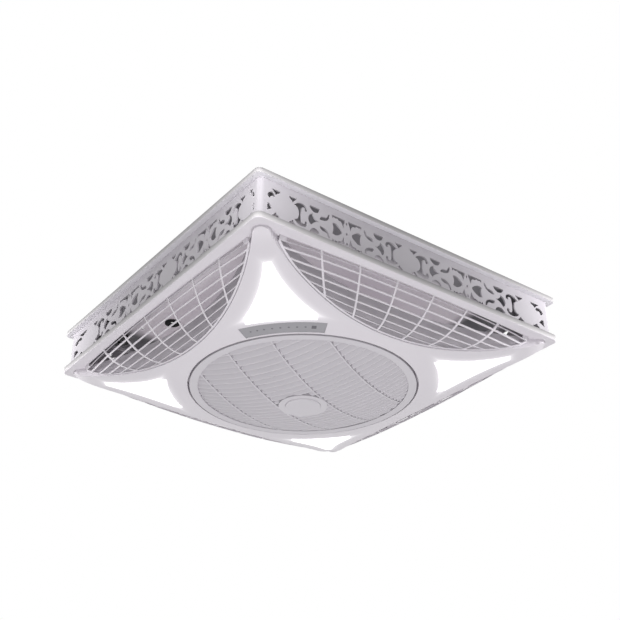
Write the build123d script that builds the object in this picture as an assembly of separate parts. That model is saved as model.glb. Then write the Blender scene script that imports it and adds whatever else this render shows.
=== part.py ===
"""Square ceiling fan with four corner lamps and a rotating louvre.

Frame: origin at the centre of the ceiling plate's top face, +Z up, so that
everything hangs below z = 0. The sides are called front (-Y), right (+X),
back (+Y) and left (-X); the display sits by the front left corner.
"""

import math
import os

from build123d import *

os.makedirs("parts", exist_ok=True)

# Ceiling plate and skirt
plate_side = 598.0
plate_rim_height = 7.5
plate_web = 2.5
plate_corner_radius = 8.0
skirt_side = 580.0
skirt_height = 71.0
skirt_wall = 2.5
skirt_corner_radius = 8.0
rim_overlap = 3.0  # how far the plate's rim reaches in past the skirt

# Front panel
panel_side = 595.0
panel_corner_radius = 11.0
panel_wall = 2.5
lip_height = 10.0
louvre_opening_radius = 189.8
collar_wall = 2.2
lip_rounding = 1.8
arm_solid_radius = 365.0  # past this radius an arm is solid, under its corner post
# Depth of the panel's skin below the border, from the louvre out to a corner
skin_radii = [louvre_opening_radius, 225.0, 282.0, 340.0, 372.0, 388.0, 398.0]
skin_depths = [56.5, 51.0, 38.5, 24.0, 15.0, 8.5, 3.0]

# Intake grilles: a bowed outer edge, and an inner edge that is one large arc
grille_outer_middle = 284.5
grille_edge_bow = 5.8
grille_half_length = 246.0
grille_inner_middle = 216.0
grille_inner_radius = 560.0
arm_half_width = 13.4
grille_thickness = 2.0
grille_frame = 3.2
grille_edge_wall = 1.4
grille_edge_rise = 0.5  # how far that wall stays above the border's face
grille_tip = 12.0  # length of the solid tips of a grille's frame
grille_clearance = 0.4
grille_recess = 1.5
grille_end_recess = 8.0
grille_recess_length = 50.0
slat_width = 1.2
slat_pitch = 8.0
slat_pitch_growth = 0.22
slat_count = 6
rib_width = 3.0
rib_positions = [36.0, 107.0, 177.0]
rib_focus = 85.0
grille_flange = 2.0
grille_flange_height = 2.5
# Where a grille's bowed skin is drawn, in shares of half its length and of its depth
grille_stations = [-1.0, -0.8, -0.55, -0.28, 0.0, 0.28, 0.55, 0.8, 1.0]
grille_depth_stations = [0.0, 0.25, 0.5, 0.75, 1.0]

# Lamps, in coordinates along and across a corner arm
lamp_base_radius = 224.0
lamp_corner = (232.0, 54.0)
lamp_side_middle = (288.0, 21.8)
lamp_tip = (340.0, 5.5)
lamp_proud = 0.8
lamp_gap = 0.3
lamp_flange = 3.0
lamp_flange_height = 1.5
lamp_board_level = 15.0  # how far below the border the boards lie
lamp_board_margin = 8.0  # how far a board reaches past its window
lamp_boss_radius = 4.0
lamp_boss_points = [(240.0, 66.0), (240.0, -66.0), (351.0, 0.0)]
lamp_board_ear = 6.0
lamp_chip_side = 5.0
lamp_chip_height = 1.0
lamp_chip_rows = [(238.0, 40.0, 5), (258.0, 28.0, 4), (278.0, 17.0, 3), (298.0, 9.0, 2), (318.0, 0.0, 1)]

# Display
display_inner_radius = 193.2
display_outer_radius = 217.6
display_half_angle = 18.0
display_recess = 0.4
display_flange = 1.8
display_board_level = -127.0
display_board_half_angle = 21.5
display_boss_angle = 20.0
display_boss_radius = 3.0
display_dot_height = 1.5
board_thickness = 1.6
display_dot_radius = 1.3
display_dot_angles = [-14.0, -11.0, -8.0, -4.5, -1.0, 2.5, 6.0, 9.5]
receiver_angle = 13.0
receiver_side = 6.5

# Air duct and guard
duct_inner_radius = 178.0
duct_wall = 2.5
duct_top = -52.0
duct_flare = 9.0
duct_flange_height = 2.5
guard_height = 2.5
guard_top = -119.5
guard_arm_width = 10.0
guard_ring_width = 3.0
guard_ring_radii = [60.0, 90.0, 120.0, 150.0]
guard_seat_radius = 34.0
collar_lip = 8.0
collar_lip_height = 2.5
collar_screw_count = 8

# Louvre
louvre_radius = 186.5
louvre_ring_width = 13.5
louvre_ring_height = 7.5
louvre_plane = 57.5  # bottom of the ring below the border
louvre_dome = 32.0  # how far the middle hangs below the ring
vane_recess = 1.2  # how far the vanes stay above the ring's lower edge
vane_depth = 11.0
vane_pitch = 12.5
vane_thickness = 1.6
vane_tilt = 40.0
louvre_rib_offsets = [-117.0, -39.0, 39.0, 117.0]
louvre_rib_thickness = 2.6
louvre_rib_depth = 10.0
louvre_rib_proud = 0.6
louvre_bend_spacing = 26.0
louvre_turn = 24.0
louvre_hub_radius = 40.0
louvre_cap_radius = 29.0
louvre_boss_radius = 8.0
louvre_boss_height = 18.0
louvre_hub_floor = 2.5
louvre_cap_rounding = 1.5
louvre_shaft_radius = 3.0
louvre_can_radius = 25.0
louvre_can_height = 14.0
louvre_can_wall = 1.0
louvre_ear_radius = 5.0
louvre_ear_height = 3.0
louvre_coil_bore = 13.0
louvre_coil_height = 9.0
louvre_magnet_radius = 12.0

# Motor, shaft and impeller
shaft_radius = 5.0
running_gap = 0.05
motor_radius = 56.0
motor_wall = 2.5
motor_top = -19.0
motor_split = -38.0
motor_bottom = -58.0
motor_ear_radius = 5.5
motor_ear_height = 3.0
shaft_opening = 7.0
shield_depth = 0.8
bearing_radius = 13.0
bearing_height = 7.0
stator_height = 16.0
stator_tooth_count = 12
stator_tooth_width = 7.0
stator_yoke = 6.0
rotor_radius = 31.8
air_gap = 0.8
coil_build = 2.2
bracket_thickness = 2.5
bracket_top = -10.0
bracket_arm_radius = 100.0
bracket_arm_width = 26.0
bracket_boss_radius = 7.0
rubber_mount_radius = 7.0
rubber_mount_offset = 42.0
impeller_radius = 171.0
impeller_hub_radius = 41.0
impeller_hub_top = -62.0
impeller_hub_bottom = -105.0
impeller_wall = 3.0
impeller_boss_radius = 10.0
impeller_boss_height = 34.0
drive_pin_radius = 1.5
drive_pin_drop = 6.0
nut_radius = 9.0
nut_height = 6.0
shaft_end = 1.5
blade_count = 5
blade_thickness = 2.6
blade_camber = 0.05
blade_root_chord = 66.0
blade_tip_chord = 92.0
blade_root_pitch = 38.0
blade_tip_pitch = 22.0
blade_level = -83.5
blade_edge_half = 0.43
blade_root_radius = 24.6  # inside the hub
blade_stations = [70.0, 110.0, 145.0]

# Corner posts, fixings and electrics
post_side = 18.0
post_corner_radius = 6.0
post_boss_radius = 5.0
post_boss_height = 15.0
post_offset = 275.0
ceiling_bolt_spacing = 400.0
ceiling_bolt_radius = 3.25
cable_entry_radius = 10.0
cable_entry = (-170.0, 150.0)
machine_screw_radius = 2.0
small_screw_radius = 1.5
screw_head_height = 1.2  # of the screw's radius
screw_head_depth = 0.3
thread_gap = 0.05
seat_gap = 0.3
tie_screw_tip = -85.0
board_screw_length = 6.0
louvre_screw_length = 8.0
display_screw_length = 4.0
unit_floor = 2.5
unit_ear = 14.0
control_box = (56.0, 80.0, 28.0)
control_box_wall = 2.0
lamp_driver_size = (44.0, 60.0, 22.0)
terminal_size = (24.0, 50.0, 16.0)
unit_distance = 328.0
control_board_drop = 7.0
control_post_radius = 3.0
terminal_well_radius = 3.5
terminal_pitch = 14.0
grommet_flange = 3.0
grommet_flange_height = 2.0

# Levels that follow from the sizes above
border_top = -plate_rim_height - skirt_height
border_bottom = border_top - panel_wall
skirt_half = skirt_side / 2
panel_half = panel_side / 2
duct_outer_radius = duct_inner_radius + duct_wall
collar_outer_radius = louvre_opening_radius + collar_wall
guard_bottom = guard_top - guard_height
collar_top = guard_bottom
deepest = border_bottom - 100.0  # below every piece
past = 1.0  # how far a cut runs past what it cuts
impeller_boss_top = impeller_hub_bottom + impeller_boss_height
drive_pin_level = impeller_boss_top - drive_pin_drop
shaft_bottom = impeller_hub_bottom - nut_height - shaft_end
louvre_low = border_bottom - louvre_plane - louvre_dome
louvre_shaft_bottom = louvre_low + vane_depth
lamp_board_bottom = border_bottom - lamp_board_level
lamp_board_top = lamp_board_bottom + board_thickness
display_board_top = display_board_level + board_thickness
corner_angles = {"near": -135.0, "right": -45.0, "far": 45.0, "left": 135.0}
side_angles = {"front": 0.0, "right": 90.0, "back": 180.0, "left": 270.0}


def save(node, shape):
    export_step(shape, f"parts/{node}.step")


def cylinder(radius, low, high, at=(0.0, 0.0)):
    base = Plane.XY.offset(low) * Pos(at[0], at[1]) * Circle(radius)
    return extrude(base, high - low)


def ring(outer, inner, low, high, at=(0.0, 0.0)):
    return cylinder(outer, low, high, at) - cylinder(inner, low - past, high + past, at)


def block(size_x, size_y, low, high, at=(0.0, 0.0), turn=0.0):
    base = Plane.XY.offset(low) * Pos(at[0], at[1]) * Rot(0, 0, turn) * Rectangle(size_x, size_y)
    return extrude(base, high - low)


def prism(face, low, high):
    """Upright solid on a flat outline drawn at z = 0."""
    return extrude(Pos(0, 0, low) * face, high - low)


def rounded_square(half, radius):
    return RectangleRounded(2 * half, 2 * half, radius)


def polar(radius, degrees):
    angle = math.radians(degrees)
    return (radius * math.cos(angle), radius * math.sin(angle))


def corner_points(offset):
    return [(x * offset, y * offset) for x in (-1, 1) for y in (-1, 1)]


def at_corner(angle, along, across):
    """Point given along and across the arm that points at an angle."""
    x, y = polar(along, angle)
    side_x, side_y = polar(across, angle + 90)
    return (x + side_x, y + side_y)


def screw(radius, seat, tip, at):
    """Screw whose head sits on one level and whose shank ends at the other."""
    head_end = seat + math.copysign(screw_head_height * radius, seat - tip)
    shank = cylinder(radius, min(seat, tip), max(seat, tip), at)
    return shank + cylinder(2 * radius, min(seat, head_end), max(seat, head_end), at)


def countersunk(radius, low, top, at):
    head = Pos(at[0], at[1], top - radius / 2) * Cone(radius, 2 * radius, radius)
    return cylinder(radius, low, top, at) + head


def group(solids):
    return Compound(children=list(solids))


# Outlines of the front panel
def inner_edge(x, inset=0.0):
    """Distance from the middle line to a grille's inner arc."""
    radius = grille_inner_radius + inset
    return grille_inner_middle + grille_inner_radius - math.sqrt(radius**2 - x**2)


def outer_edge_end():
    return grille_outer_middle - grille_edge_bow


def grille_outline():
    """The front intake opening, seen from below."""
    end_y = -outer_edge_end()
    inner_y = -inner_edge(grille_half_length)
    outer_left = (-grille_half_length, end_y)
    outer_right = (grille_half_length, end_y)
    inner_left = (-grille_half_length, inner_y)
    inner_right = (grille_half_length, inner_y)
    edges = ThreePointArc(outer_left, (0, -grille_outer_middle), outer_right)
    edges += Line(outer_right, inner_right)
    edges += ThreePointArc(inner_right, (0, -grille_inner_middle), inner_left)
    edges += Line(inner_left, outer_left)
    return make_face(edges)


def star_outline(inset=0.0):
    """Middle of the panel with its four arms, drawn in by an inset."""
    radius = grille_inner_radius + inset
    half_width = arm_half_width - inset
    centre = grille_inner_middle + grille_inner_radius
    cosine = (centre - math.sqrt(2) * half_width) / (math.sqrt(2) * radius)
    turn = math.radians(45) - math.acos(cosine)
    end_x = radius * math.sin(turn)
    end_y = centre - radius * math.cos(turn)
    tip = (skin_radii[-1] - inset) / math.sqrt(2)
    edges = Curve()
    for angle in side_angles.values():
        side = ThreePointArc((-end_x, -end_y), (0, -(centre - radius)), (end_x, -end_y))
        arm = ThreePointArc((end_x, -end_y), (tip, -tip), (end_y, -end_x))
        edges += Rot(0, 0, angle) * (side + arm)
    return make_face(edges)


def skin_profile(shift):
    points = [(r, 0, border_bottom - d + shift) for r, d in zip(skin_radii, skin_depths)]
    return Spline(points)


def skin_solid(shift, top):
    """Everything from the skin, moved up by a shift, to a flat top."""
    low = skin_profile(shift)
    start, end = low @ 0, low @ 1
    edges = low + Polyline(end, (end.X, 0, top), (start.X, 0, top), start)
    return revolve(make_face(edges), Axis.Z)


def skin_shell(low_shift, high_shift):
    low = skin_profile(low_shift)
    high = skin_profile(high_shift)
    edges = low + Line(low @ 1, high @ 1) + high + Line(high @ 0, low @ 0)
    return revolve(make_face(edges), Axis.Z)


def skin_depth(radius):
    """Depth of the skin below the border at a radius, between the named points."""
    for r0, r1, d0, d1 in zip(skin_radii, skin_radii[1:], skin_depths, skin_depths[1:]):
        if radius <= r1:
            return d0 + (d1 - d0) * (radius - r0) / (r1 - r0)
    return skin_depths[-1]


def lamp_outline(grow=0.0):
    """Lamp window along +X, with concave sides."""
    corner = (lamp_corner[0], lamp_corner[1] + grow)
    middle = (lamp_side_middle[0], lamp_side_middle[1] + grow)
    tip = (lamp_tip[0] + grow, lamp_tip[1] + grow)
    base_radius = lamp_base_radius - grow
    base_y = corner[1]
    base_x = math.sqrt(base_radius**2 - base_y**2)
    edges = ThreePointArc((base_x, -base_y), (base_radius, 0), (base_x, base_y))
    edges += Line((base_x, base_y), corner)
    edges += ThreePointArc(corner, middle, tip)
    edges += Line(tip, (tip[0], -tip[1]))
    edges += ThreePointArc((tip[0], -tip[1]), (middle[0], -middle[1]), (corner[0], -corner[1]))
    edges += Line((corner[0], -corner[1]), (base_x, -base_y))
    return make_face(edges)


def sector_outline(inner, outer, half_angle):
    """Ring sector about the near corner's direction."""
    middle = corner_angles["near"]
    low, high = middle - half_angle, middle + half_angle
    edges = ThreePointArc(polar(inner, low), polar(inner, middle), polar(inner, high))
    edges += Line(polar(inner, high), polar(outer, high))
    edges += ThreePointArc(polar(outer, high), polar(outer, middle), polar(outer, low))
    edges += Line(polar(outer, low), polar(inner, low))
    return make_face(edges)


# Skirt pattern. A quarter runs from the middle of a medallion to the mirror line between
# two medallions, and is stretched along the side to fit between the two places.
pattern_quarter = 120.0
pattern_end = 33.0  # from the middle of the last medallion to the end of its holes
pattern_reach = 280.0  # where the holes end by the skirt's corners
pattern_half_height = 23.0
# Medallions and mirror lines in turn, along a side
front_places = [-247.0, -137.0, -24.0, 102.0, 236.0]
left_places = [-213.0, -78.0, 47.0, 156.0, 262.0]
dot_heights = [17.5, 0.0, -17.5]
dot_radii = (1.7, 2.6)


def smooth(points):
    return make_face(Spline(points, periodic=True))


def angular(points):
    return make_face(Polyline(points, close=True))


def two_curves(first, second):
    """Closed outline with a sharp point where its two smooth sides meet."""
    return make_face(Spline(first) + Spline(second))


def flat_top(left, right, below):
    return make_face(Line(left, right) + Spline([right] + below + [left]))


def scroll_hole():
    outer = [(18, 12), (24, 17.5), (32, 19.5), (39.5, 17.5), (42.5, 12.5), (41, 8.5), (38, 9), (37.5, 13)]
    outer += [(34, 13.5), (31.5, 8), (31, 0), (31.5, -8), (34, -13.5), (37.5, -13), (38, -9), (41, -8.5)]
    outer += [(42.5, -12.5), (39.5, -17.5), (32, -19.5), (24, -17.5), (18, -12)]
    inner = [(18, -12), (23.5, -9.5), (26.5, 0), (23.5, 9.5), (18, 12)]
    return two_curves(outer, inner)


def star_hole():
    left, top, right, bottom = (44.5, 0), (53, 10.5), (65.5, 0), (50.5, -10)
    edges = ThreePointArc(left, (46.5, 5.5), top) + ThreePointArc(top, (57, 3.5), right)
    edges += ThreePointArc(right, (56, -3.5), bottom) + ThreePointArc(bottom, (45.5, -5.5), left)
    return make_face(edges)


def curl_hole():
    outer = [(66.5, 5.5), (74, 6), (81, 9), (85, 14), (86, 20.5)]
    inner = [(86, 20.5), (82.5, 18.5), (80.5, 14), (75, 12.5), (66.5, 5.5)]
    return two_curves(outer, inner)


def bean_hole():
    outer = [(91, 8.5), (98, 10), (105, 6.5), (110.5, 0), (105, -6.5), (98, -10), (91, -8.5)]
    return two_curves(outer, [(91, -8.5), (93, 0), (91, 8.5)])


def bracket_hole():
    top = pattern_half_height
    teeth = [(90.5, top), (117, top), (117, 20), (114.5, 14.5), (113, 7.5), (110.5, 14.5), (108, 17.5)]
    teeth += [(104, 17.5), (101, 20.3), (97, 18.8), (94, 20.5), (91.5, 17.5)]
    return angular(teeth)


def quarter_holes():
    """Holes between a medallion and the next mirror line."""
    top = pattern_half_height
    triangle = angular([(7.5, top), (22.5, top), (18, 18.5), (15, 14.5), (12.5, 18), (9.5, 19)])
    leaf = flat_top((46.5, top), (66.5, top), [(64.5, 17), (57, 13.5), (49.5, 17)])
    halves = [triangle, leaf, curl_hole(), bracket_hole()]
    holes = [scroll_hole(), star_hole(), bean_hole()] + halves
    return holes + [mirror(hole, Plane.XZ) for hole in halves]


def end_holes():
    """Holes between the last medallion and the skirt's corner."""
    top = pattern_half_height
    triangle = angular([(7.5, top), (22.5, top), (18, 18.5), (15, 14.5), (12.5, 18), (9.5, 19)])
    heart = smooth([(16.5, 12), (21, 17), (27, 14.5), (28.5, 8), (25.5, 6), (22, 10.5)])
    wedge = angular([(29, -3.5), (25, -4), (21, -10), (29, -15.5)])
    return [triangle, mirror(triangle, Plane.XZ), heart, wedge]


def placed(holes, medallion, stretch):
    """Holes beside a medallion, stretched along the side. A negative stretch flips them."""
    if stretch < 0:
        holes = [mirror(hole, Plane.YZ) for hole in holes]
    return [Pos(medallion, 0) * scale(hole, (abs(stretch), 1, 1)) for hole in holes]


def skirt_pattern(places):
    holes = []
    for number, (start, end) in enumerate(zip(places, places[1:])):
        medallion, line = (end, start) if number % 2 else (start, end)
        holes += placed(quarter_holes(), medallion, (line - medallion) / pattern_quarter)
    for line in places[1::2]:
        holes += [Pos(line, height) * Ellipse(*dot_radii) for height in dot_heights]
    first, last = places[0], places[-1]
    holes += placed(end_holes(), first, (-pattern_reach - first) / pattern_end)
    return holes + placed(end_holes(), last, (pattern_reach - last) / pattern_end)


def skirt_corner():
    """Half of the rounded corner at the right end of the front side."""
    start, end = -90.0, corner_angles["right"]
    angles = [start, (start + end) / 2, end]
    outer = [polar(skirt_corner_radius, angle) for angle in angles]
    inner = [polar(skirt_corner_radius - skirt_wall, angle) for angle in reversed(angles)]
    edges = ThreePointArc(*outer) + Line(outer[-1], inner[0])
    edges += ThreePointArc(*inner) + Line(inner[-1], outer[0])
    straight = skirt_half - skirt_corner_radius
    return prism(Pos(straight, -straight) * make_face(edges), border_top, -plate_rim_height)


def skirt_panel(places):
    """Front side of the skirt with half of each rounded corner."""
    straight = skirt_half - skirt_corner_radius
    face = Rectangle(2 * straight, skirt_height)
    for hole in skirt_pattern(places):
        face -= hole
    middle_z = -plate_rim_height - skirt_height / 2
    upright = Plane(origin=(0, -skirt_half, middle_z), x_dir=(1, 0, 0), z_dir=(0, 1, 0))
    flat = extrude(upright * Rot(180, 0, 0) * face, skirt_wall, dir=(0, 1, 0))
    corner = skirt_corner()
    return flat + corner + mirror(corner, Plane.YZ)


def ceiling_plate():
    body = prism(rounded_square(plate_side / 2, plate_corner_radius), -plate_rim_height, 0)
    pocket_side = 2 * (skirt_half - skirt_wall - rim_overlap)
    body -= block(pocket_side, pocket_side, -plate_rim_height - past, -plate_web)
    for angle in corner_angles.values():
        point = polar(bracket_arm_radius, angle)
        body += cylinder(bracket_boss_radius, bracket_top, -plate_web, point)
        body -= cylinder(machine_screw_radius + thread_gap, bracket_top - past, -plate_web / 2, point)
    for point in corner_points(ceiling_bolt_spacing / 2):
        body -= cylinder(ceiling_bolt_radius, -plate_web - past, past, point)
    body -= cylinder(cable_entry_radius, -plate_web - past, past, cable_entry)
    for point in corner_points(post_offset):
        radius = machine_screw_radius + thread_gap
        body -= countersunk(radius, -plate_web - past, -screw_head_depth, point)
        body -= cylinder(2 * radius, -screw_head_depth, past, point)
    for point in unit_screw_points():
        body -= cylinder(small_screw_radius + thread_gap, -plate_web - past, past, point)
    return body


def corner_post(x, y):
    post = prism(Pos(x, y) * rounded_square(post_side / 2, post_corner_radius), border_top, -plate_web)
    pocket_top = border_top + post_boss_height + seat_gap
    post -= cylinder(post_boss_radius + seat_gap, border_top - past, pocket_top, (x, y))
    return post - cylinder(machine_screw_radius + thread_gap, border_top - past, 0, (x, y))


def tie_screws():
    return [
        countersunk(machine_screw_radius, tie_screw_tip, -screw_head_depth, point)
        for point in corner_points(post_offset)
    ]


def boss_on_skin(radius, top, point):
    """Screw boss that rises from inside the panel's skin."""
    return cylinder(radius, deepest, top, point) & skin_solid(panel_wall / 2, border_top)


def lamp_boss_places():
    return [at_corner(angle, *point) for angle in corner_angles.values() for point in lamp_boss_points]


def display_boss_places():
    middle = corner_angles["near"]
    radius = (display_inner_radius + display_outer_radius) / 2
    return [polar(radius, middle + side * display_boss_angle) for side in (-1, 1)]


def panel_border():
    outline = rounded_square(panel_half, panel_corner_radius)
    inside = rounded_square(panel_half - panel_wall, panel_corner_radius - panel_wall)
    body = prism(outline, border_bottom, border_bottom + lip_height) - prism(inside, border_top, lip_height)
    for angle in side_angles.values():
        body -= prism(Rot(0, 0, angle) * grille_outline(), border_bottom - past, border_top + past)
    body -= cylinder(louvre_opening_radius, border_bottom - past, border_top + past)
    rim = [edge for edge in body.edges() if on_outer_bottom(edge)]
    return fillet(rim, lip_rounding)


def on_outer_bottom(edge):
    centre = edge @ 0.5
    reach = max(abs(centre.X), abs(centre.Y))
    return abs(centre.Z - border_bottom) < thread_gap and reach > grille_outer_middle + grille_flange


def front_panel():
    body = panel_border()
    body += skin_solid(0, border_top) & prism(star_outline(), deepest, border_top)
    inside = star_outline(panel_wall) & Circle(arm_solid_radius)
    hollow = skin_solid(panel_wall, border_top + past) & prism(inside, deepest, border_top + past)
    body -= hollow - cylinder(collar_outer_radius, deepest, collar_top)
    lip_bottom = collar_top - collar_lip_height
    body += ring(collar_outer_radius, collar_outer_radius - collar_lip, lip_bottom, collar_top)
    hole = small_screw_radius + thread_gap
    for point in collar_screw_points():
        body -= cylinder(hole, lip_bottom - past, collar_top + past, point)
    boss_top = border_top + post_boss_height
    radius = machine_screw_radius + thread_gap
    for point in corner_points(post_offset):
        body += cylinder(post_boss_radius, border_top, boss_top, point)
        body -= cylinder(radius, tie_screw_tip - seat_gap, boss_top + past, point)
    for angle in corner_angles.values():
        body -= prism(Rot(0, 0, angle) * lamp_outline(), deepest, lamp_board_bottom)
    window = sector_outline(display_inner_radius, display_outer_radius, display_half_angle)
    body -= prism(window, deepest, display_board_level)
    for point in lamp_boss_places():
        body += boss_on_skin(lamp_boss_radius, lamp_board_bottom, point)
        body -= cylinder(hole, lamp_board_top - board_screw_length - seat_gap, lamp_board_top, point)
    for point in display_boss_places():
        body += boss_on_skin(display_boss_radius, display_board_level, point)
        body -= cylinder(hole, display_board_top - display_screw_length - seat_gap, display_board_top, point)
    return body


# Intake grilles
def grille_hang(x):
    """Depth of a grille's inner edge below the border."""
    radius = math.hypot(x, inner_edge(x))
    near_end = max(0.0, 1 - (grille_half_length - abs(x)) / grille_recess_length)
    recess = grille_recess + (grille_end_recess - grille_recess) * near_end
    return skin_depth(radius) - recess


def outer_edge(x):
    """Distance from the middle line to a grille's outer edge."""
    bow_radius = (grille_half_length**2 + grille_edge_bow**2) / (2 * grille_edge_bow)
    return grille_outer_middle - bow_radius + math.sqrt(bow_radius**2 - x**2)


def grille_section(x):
    """Slice through the front grille's skin, which bows down from the border's top."""
    depth = outer_edge(x) - inner_edge(x)
    drop = grille_hang(x) + panel_wall
    low = []
    for share in grille_depth_stations:
        level = border_top - drop * (1 - (1 - share) ** 2)
        low.append((x, depth * share - outer_edge(x), level))
    high = [(px, py, pz + grille_thickness) for px, py, pz in reversed(low)]
    edges = Spline(low) + Line(low[-1], high[0]) + Spline(high) + Line(high[-1], low[0])
    return make_face(edges)


def grille_skin():
    return loft([grille_section(grille_half_length * share) for share in grille_stations])


def edge_band(low_shift, high_shift, reach):
    """Strip along the outer edge between two shifts towards the middle."""
    end = -outer_edge(reach)
    middle = -grille_outer_middle
    edges = ThreePointArc((-reach, end + low_shift), (0, middle + low_shift), (reach, end + low_shift))
    edges += Line((reach, end + low_shift), (reach, end + high_shift))
    edges += ThreePointArc((reach, end + high_shift), (0, middle + high_shift), (-reach, end + high_shift))
    edges += Line((-reach, end + high_shift), (-reach, end + low_shift))
    return make_face(edges)


def slat_shift(number):
    return slat_pitch * number + slat_pitch_growth * number * (number - 1)


def frame_outline(room):
    """Frame along the inner arc, with a solid tip at each end."""
    inside = offset(grille_outline(), -grille_clearance - grille_frame)
    open_side = edge_band(-grille_flange, grille_frame, grille_half_length - grille_tip)
    return room - inside - open_side


def grille_lattice():
    room = offset(grille_outline(), -grille_clearance)
    bars = Sketch()
    for number in range(1, slat_count + 1):
        shift = slat_shift(number)
        bars += edge_band(shift - slat_width / 2, shift + slat_width / 2, grille_half_length)
    for position in rib_positions:
        for x in (-position, position):
            run_x, run_y = x, rib_focus - outer_edge(x)
            length = 2 * math.hypot(run_x, run_y)
            bar = Pos(length / 2, 0) * Rectangle(length, rib_width)
            bars += Pos(0, -rib_focus) * Rot(0, 0, math.degrees(math.atan2(run_y, run_x))) * bar
    return frame_outline(room) + (bars & room)


def intake_grille():
    body = grille_skin() & prism(grille_lattice(), deepest, border_top + grille_thickness)
    band = edge_band(-grille_flange, grille_frame, grille_half_length)
    flange = prism(band, border_top, border_top + grille_flange_height)
    wall = edge_band(grille_clearance, grille_clearance + grille_edge_wall, grille_half_length)
    return body + (flange + prism(wall, border_bottom + grille_edge_rise, border_top))


# Lamps, one at each corner
def lamp_diffuser():
    lens = prism(lamp_outline(-lamp_gap), deepest, border_top) & skin_shell(-lamp_proud, panel_wall)
    flange = prism(lamp_outline(lamp_flange), deepest, border_top)
    return lens + (flange & skin_shell(panel_wall, panel_wall + lamp_flange_height))


def lamp_board():
    outline = lamp_outline(lamp_board_margin)
    for point in lamp_boss_points:
        outline += Pos(*point) * Circle(lamp_board_ear)
    for point in lamp_boss_points:
        outline -= Pos(*point) * Circle(small_screw_radius + thread_gap)
    return prism(outline, lamp_board_bottom, lamp_board_top)


def lamp_chips():
    chips = []
    for along, reach, count in lamp_chip_rows:
        for number in range(count):
            across = reach * (2 * number / (count - 1) - 1) if count > 1 else 0.0
            low = lamp_board_bottom - lamp_chip_height
            chips.append(block(lamp_chip_side, lamp_chip_side, low, lamp_board_bottom, (along, across)))
    return chips


# Display by the near corner
def display_window():
    inner, outer = display_inner_radius + lamp_gap, display_outer_radius - lamp_gap
    half_angle = display_half_angle - math.degrees(lamp_gap / outer)
    pane = prism(sector_outline(inner, outer, half_angle), deepest, border_top)
    flange_angle = display_half_angle + math.degrees(display_flange / display_outer_radius)
    inner, outer = collar_outer_radius + seat_gap, display_outer_radius + display_flange
    outline = sector_outline(inner, outer, flange_angle)
    flange = prism(outline, deepest, border_top) & skin_shell(panel_wall, panel_wall + lamp_flange_height)
    return (pane & skin_shell(display_recess, panel_wall)) + flange


def display_board():
    inner = collar_outer_radius + lamp_flange
    outer = display_outer_radius - display_flange
    outline = sector_outline(inner, outer, display_board_half_angle)
    body = prism(outline, display_board_level, display_board_top)
    for point in display_boss_places():
        body -= cylinder(small_screw_radius + thread_gap, deepest, 0, point)
    return body


def display_row(angle):
    radius = (display_inner_radius + display_outer_radius) / 2
    return polar(radius, corner_angles["near"] + angle)


def display_dots():
    high = display_board_level
    low = high - display_dot_height
    return [cylinder(display_dot_radius, low, high, display_row(angle)) for angle in display_dot_angles]


def remote_receiver():
    low = display_board_level - display_dot_height
    turn = corner_angles["near"] + receiver_angle
    return block(receiver_side, receiver_side, low, display_board_level, display_row(receiver_angle), turn)


def board_screws():
    screws = []
    for point in lamp_boss_places():
        screws.append(screw(small_screw_radius, lamp_board_top, lamp_board_top - board_screw_length, point))
    for point in display_boss_places():
        tip = display_board_top - display_screw_length
        screws.append(screw(small_screw_radius, display_board_top, tip, point))
    return screws


# Air duct and guard
def collar_screw_points():
    radius = collar_outer_radius - collar_lip / 2
    step = 360 / collar_screw_count
    return [polar(radius, step * (number + 0.5)) for number in range(collar_screw_count)]


def air_duct():
    flange_top = guard_top + duct_flange_height
    turn = duct_top - duct_flare
    mouth = duct_inner_radius + duct_flare
    slant = math.sqrt(0.5)
    thin = duct_flare - duct_wall
    points = [(duct_outer_radius, 0, turn), (duct_outer_radius, 0, flange_top)]
    points += [(collar_outer_radius, 0, flange_top), (collar_outer_radius, 0, guard_top)]
    points += [(duct_inner_radius, 0, guard_top), (duct_inner_radius, 0, turn)]
    edges = Polyline(points)
    edges += ThreePointArc(
        (duct_inner_radius, 0, turn),
        (mouth - duct_flare * slant, 0, turn + duct_flare * slant),
        (mouth, 0, duct_top),
    )
    edges += Line((mouth, 0, duct_top), (mouth, 0, turn + thin))
    edges += ThreePointArc(
        (mouth, 0, turn + thin),
        (mouth - thin * slant, 0, turn + thin * slant),
        (duct_outer_radius, 0, turn),
    )
    body = revolve(make_face(edges), Axis.Z)
    for point in collar_screw_points():
        body -= cylinder(small_screw_radius + thread_gap, guard_top - past, flange_top + past, point)
    return body


def louvre_guard():
    body = ring(collar_outer_radius, duct_inner_radius, guard_bottom, guard_top)
    body += cylinder(guard_seat_radius, guard_bottom, guard_top)
    for radius in guard_ring_radii:
        half = guard_ring_width / 2
        body += ring(radius + half, radius - half, guard_bottom, guard_top)
    arms = block(2 * duct_inner_radius + past, guard_arm_width, guard_bottom, guard_top)
    body += arms + Rot(0, 0, 90) * arms
    for point in collar_screw_points():
        body -= cylinder(small_screw_radius + thread_gap, guard_bottom - past, guard_top + past, point)
    for point in louvre_motor_points():
        body -= cylinder(small_screw_radius + thread_gap, guard_bottom - past, guard_top + past, point)
    return body


def duct_screws():
    seat = guard_top + duct_flange_height
    tip = collar_top - collar_lip_height
    return [screw(small_screw_radius, seat, tip, point) for point in collar_screw_points()]


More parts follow.
